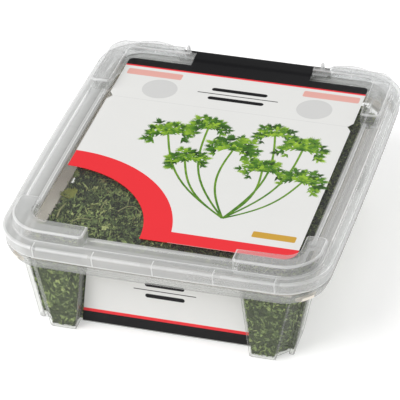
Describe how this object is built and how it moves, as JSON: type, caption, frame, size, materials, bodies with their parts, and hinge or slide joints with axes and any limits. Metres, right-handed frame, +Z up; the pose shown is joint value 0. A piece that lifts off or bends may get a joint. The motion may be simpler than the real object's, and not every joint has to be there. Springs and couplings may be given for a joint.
{
  "type": "lidded tub of dried parsley",
  "caption": "Clear rectangular food tub with cut corners and a frosted press-on stacking lid, sealed by a printed sheet and filled with loose dried parsley flakes.",
  "frame": {"origin": "on the table, under the middle of the whole tub", "axes": "+X to the right as seen from the front label, +Y to the back where the seal is, +Z up"},
  "size_m": [0.1, 0.121, 0.0362],
  "materials": {
    "clear_tub": "clear thin polypropylene, glossy, with a slight haze",
    "frosted_lid": "frosted see-through polypropylene with soft highlights",
    "lid_sheet": "glossy coated white paper with plain coloured bands",
    "front_sheet": "glossy coated white paper with a red line and a dark band",
    "dried_leaf": "dry crumpled leaf, matt, dark and light green"
  },
  "bodies": {
    "root": {"tub": "clear_tub", "lid": "frosted_lid", "lid_label": "lid_sheet", "front_label": "front_sheet", "parsley_flakes": "dried_leaf"}
  },
  "joints": []
}
